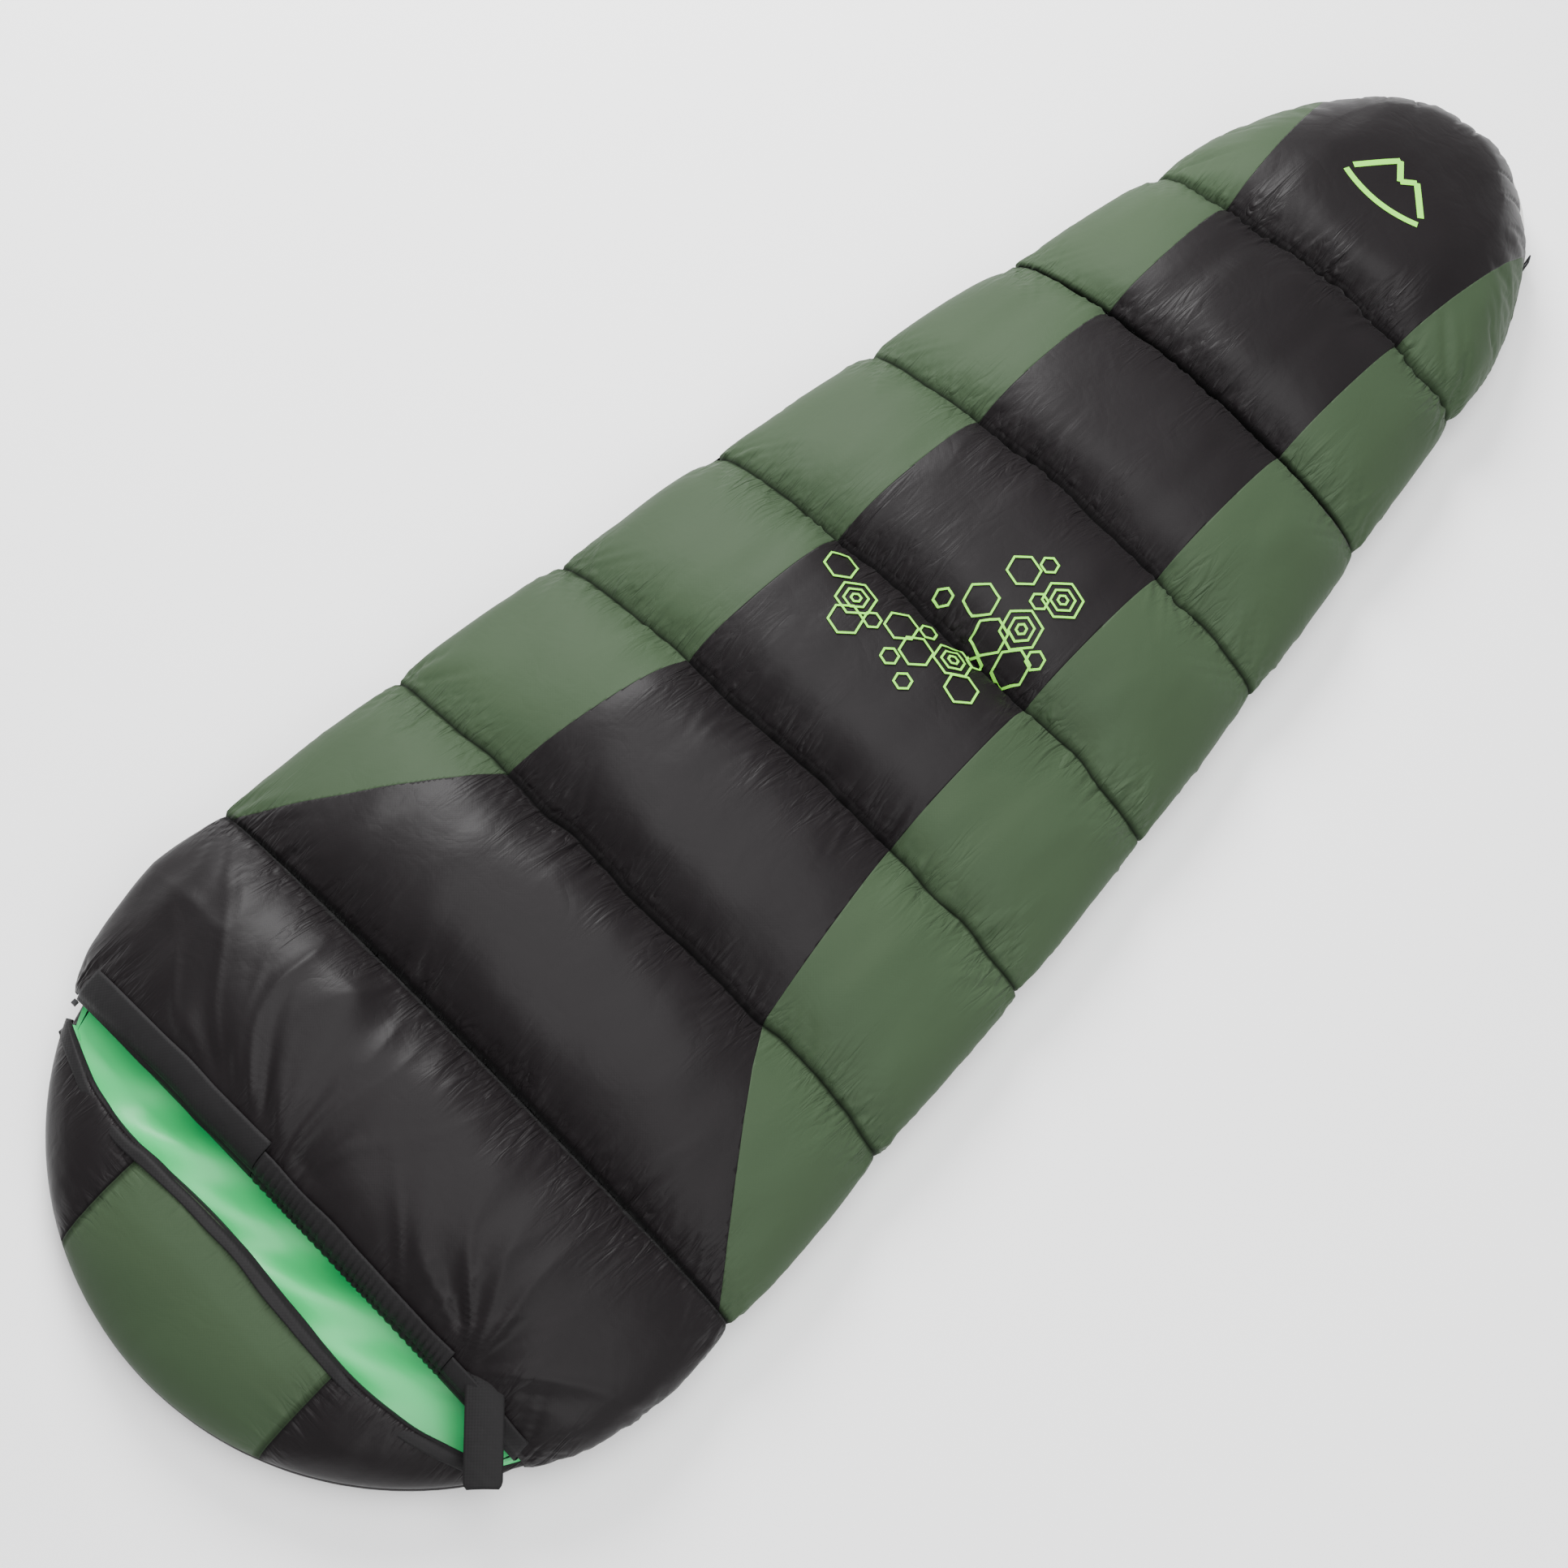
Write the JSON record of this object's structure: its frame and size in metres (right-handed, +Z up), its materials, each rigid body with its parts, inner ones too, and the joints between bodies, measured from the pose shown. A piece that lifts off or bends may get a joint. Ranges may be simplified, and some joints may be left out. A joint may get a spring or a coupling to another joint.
{
  "type": "mummy sleeping bag",
  "caption": "Quilted mummy sleeping bag lying closed, with a side zip, a fold-open top quilt, a hood and a slit-like face opening.",
  "frame": {"origin": "on the floor under the middle of the bag's length and width", "axes": "+X away from the zip, +Y towards the foot end, +Z up"},
  "size_m": [0.782, 2.3, 0.15],
  "materials": {
    "dark_shell": "satin",
    "green_shell": "satin",
    "lining": "satin",
    "filling": "matte",
    "dark_trim": "matte",
    "print_green": "satin",
    "webbing": "matte",
    "zip_tape": "matte",
    "zip_coil": "satin",
    "zip_metal": "satin",
    "pull_plastic": "matte"
  },
  "bodies": {
    "bag": {"bottom_shell": "dark_shell", "bottom_insulation": "filling", "bottom_lining": "lining", "foot_center_panel": "dark_shell", "foot_left_panel": "green_shell", "foot_right_panel": "green_shell", "foot_fill_1": "filling", "foot_fill_2": "filling", "foot_lining": "lining", "hood_center_panel": "green_shell", "hood_left_panel": "dark_shell", "hood_right_panel": "dark_shell", "hood_insulation": "filling", "hood_lining": "lining", "hood_binding": "dark_trim", "zip_tape_lower": "zip_tape", "zip_coil_lower": "zip_coil", "zip_top_stop": "zip_metal", "zip_bottom_stop": "zip_metal", "zip_draft_tube": "lining"},
    "top_cover": {"cover_chest_panel": "dark_shell", "cover_center_panel": "dark_shell", "cover_left_panel": "green_shell", "cover_right_panel": "green_shell", "cover_fill_1": "filling", "cover_fill_2": "filling", "cover_fill_3": "filling", "cover_fill_4": "filling", "cover_fill_5": "filling", "cover_fill_6": "filling", "cover_lining": "lining", "collar_band": "dark_trim", "drawcord_channel": "dark_trim", "zip_tape_upper": "zip_tape", "zip_coil_upper": "zip_coil"},
    "zip_slider": {"zip_slider": "zip_metal"},
    "zip_pull": {"zip_pull_tab": "pull_plastic"},
    "neck_tab": {"neck_tab": "webbing"},
    "hang_loop": {"foot_hang_loop": "webbing"}
  },
  "joints": [
    {"name": "top_cover_fold", "type": "hinge", "parent": "bag", "child": "top_cover", "pos_m": [0.36157, -0.222, 0.038], "axis": [-0.0784, 0.9969, 0], "range_deg": [0, 110]},
    {"name": "zip_travel", "type": "hinge", "parent": "bag", "child": "zip_slider", "pos_m": [4.72548, -0.45373, 0.0385], "axis": [0, 0, -1], "range_deg": [0, 15.54]},
    {"name": "zip_pull_swing", "type": "hinge", "parent": "zip_slider", "child": "zip_pull", "pos_m": [-0.34629, -0.92558, 0.0385], "axis": [0, 0, -1], "range_deg": [0, 150]},
    {"name": "neck_tab_lift", "type": "hinge", "parent": "top_cover", "child": "neck_tab", "pos_m": [0.23584, -0.897, 0.10937], "axis": [-0.7034, -0.7108, 0], "range_deg": [0, 90]},
    {"name": "hang_loop_swing", "type": "hinge", "parent": "bag", "child": "hang_loop", "pos_m": [0.16628, 1.04957, 0.035], "axis": [0.4067, -0.9135, 0], "range_deg": [0, 130]}
  ],
  "couplings": [
    {"joint": "zip_travel", "follows": "top_cover_fold", "ratio": 0.14114}
  ]
}
